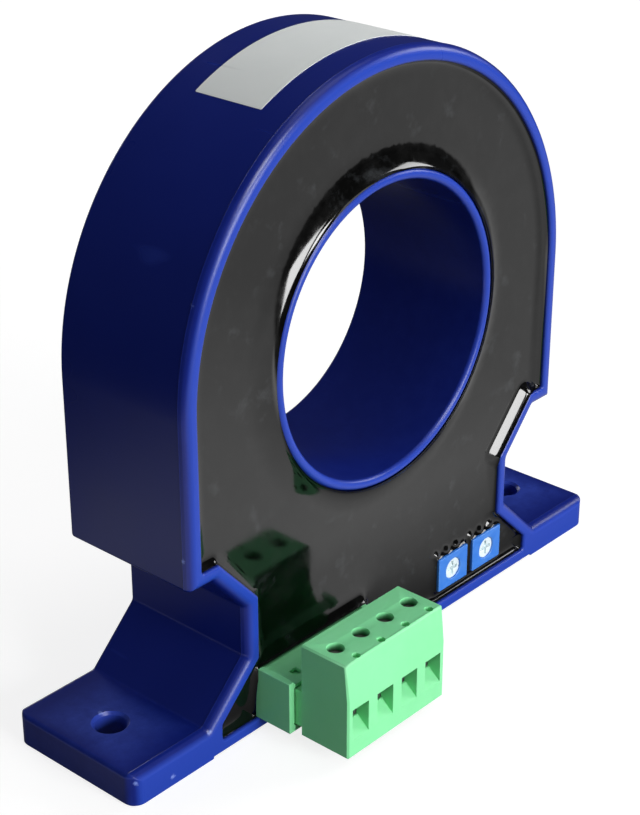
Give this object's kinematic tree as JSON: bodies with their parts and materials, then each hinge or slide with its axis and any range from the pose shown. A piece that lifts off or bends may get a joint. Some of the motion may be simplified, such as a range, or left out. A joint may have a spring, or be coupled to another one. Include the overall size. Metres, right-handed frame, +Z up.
{
  "type": "current transducer",
  "caption": "Ring-shaped panel current transducer with a round conductor window, drilled feet, a potted front, span and zero adjusters and a pull-off screw terminal block.",
  "frame": {"origin": "midway between the two fixing holes, on the plane that the feet stand on", "axes": "+X along the base to the right, as seen from the potted front; +Z up; the potted front and the plug face -Y and the window's axis is along Y"},
  "size_m": [0.1016, 0.0382, 0.0901],
  "materials": {
    "blue_plastic": "moulded, satin",
    "black_resin": "cast, glossy",
    "pale_film": "satin film",
    "core_strip": "wound strip",
    "chip_plastic": "matt",
    "green_laminate": "satin",
    "resistor_ceramic": "satin",
    "capacitor_ceramic": "satin",
    "can_sleeve": "sleeved aluminium",
    "green_plastic": "moulded, satin",
    "tinned_pins": "tinned",
    "trimmer_plastic": "moulded, glossy",
    "rotor_plastic": "satin",
    "element_ceramic": "matt",
    "spring_bronze": "satin",
    "plated_steel": "zinc plated"
  },
  "bodies": {
    "base": {"housing_tray": "blue_plastic", "potting_fill": "black_resin", "rating_label": "pale_film", "magnetic_core": "core_strip", "hall_element": "chip_plastic", "circuit_board": "green_laminate", "amplifier_chip": "chip_plastic", "reference_chip": "chip_plastic", "chip_resistors": "resistor_ceramic", "chip_capacitors": "capacitor_ceramic", "positive_supply_capacitor": "can_sleeve", "negative_supply_capacitor": "can_sleeve", "header_shell": "green_plastic", "header_pins": "tinned_pins", "zero_trimmer_case": "trimmer_plastic", "zero_trimmer_element": "element_ceramic", "zero_trimmer_leads": "tinned_pins", "gain_trimmer_case": "trimmer_plastic", "gain_trimmer_element": "element_ceramic", "gain_trimmer_leads": "tinned_pins"},
    "plug": {"plug_body": "green_plastic", "plug_contact_1": "tinned_pins", "plug_contact_2": "tinned_pins", "plug_contact_3": "tinned_pins", "plug_contact_4": "tinned_pins"},
    "zero_rotor": {"zero_trimmer_rotor": "rotor_plastic", "zero_trimmer_wiper": "spring_bronze"},
    "gain_rotor": {"gain_trimmer_rotor": "rotor_plastic", "gain_trimmer_wiper": "spring_bronze"},
    "screw_1": {"clamp_screw_1": "plated_steel"},
    "cage_1": {"clamp_cage_1": "plated_steel"},
    "screw_2": {"clamp_screw_2": "plated_steel"},
    "cage_2": {"clamp_cage_2": "plated_steel"},
    "screw_3": {"clamp_screw_3": "plated_steel"},
    "cage_3": {"clamp_cage_3": "plated_steel"},
    "screw_4": {"clamp_screw_4": "plated_steel"},
    "cage_4": {"clamp_cage_4": "plated_steel"}
  },
  "joints": [
    {"name": "plug_pull", "type": "slide", "parent": "base", "child": "plug", "axis": [0, -1, 0], "range_m": [0, 0.015]},
    {"name": "zero_adjust", "type": "hinge", "parent": "base", "child": "zero_rotor", "pos_m": [0.0165, -0.011, 0.00615], "axis": [0, 1, 0], "range_deg": [-130, 130]},
    {"name": "gain_adjust", "type": "hinge", "parent": "base", "child": "gain_rotor", "pos_m": [0.0247, -0.011, 0.00615], "axis": [0, 1, 0], "range_deg": [-130, 130]},
    {"name": "clamp_1_lift", "type": "slide", "parent": "plug", "child": "cage_1", "axis": [0, 0, 1], "range_m": [0, 0.0016]},
    {"name": "clamp_1_turn", "type": "hinge", "parent": "plug", "child": "screw_1", "pos_m": [-0.02346, -0.0222, 0.0139], "axis": [0, 0, -1], "range_deg": [0, 1280.5]},
    {"name": "clamp_2_lift", "type": "slide", "parent": "plug", "child": "cage_2", "axis": [0, 0, 1], "range_m": [0, 0.0016]},
    {"name": "clamp_2_turn", "type": "hinge", "parent": "plug", "child": "screw_2", "pos_m": [-0.01838, -0.0222, 0.0139], "axis": [0, 0, -1], "range_deg": [0, 1280.5]},
    {"name": "clamp_3_lift", "type": "slide", "parent": "plug", "child": "cage_3", "axis": [0, 0, 1], "range_m": [0, 0.0016]},
    {"name": "clamp_3_turn", "type": "hinge", "parent": "plug", "child": "screw_3", "pos_m": [-0.0133, -0.0222, 0.0139], "axis": [0, 0, -1], "range_deg": [0, 1280.5]},
    {"name": "clamp_4_lift", "type": "slide", "parent": "plug", "child": "cage_4", "axis": [0, 0, 1], "range_m": [0, 0.0016]},
    {"name": "clamp_4_turn", "type": "hinge", "parent": "plug", "child": "screw_4", "pos_m": [-0.00822, -0.0222, 0.0139], "axis": [0, 0, -1], "range_deg": [0, 1280.5]}
  ],
  "couplings": [
    {"joint": "clamp_1_turn", "follows": "clamp_1_lift", "rad_per_m": 13963},
    {"joint": "clamp_2_turn", "follows": "clamp_2_lift", "rad_per_m": 13963},
    {"joint": "clamp_3_turn", "follows": "clamp_3_lift", "rad_per_m": 13963},
    {"joint": "clamp_4_turn", "follows": "clamp_4_lift", "rad_per_m": 13963}
  ]
}
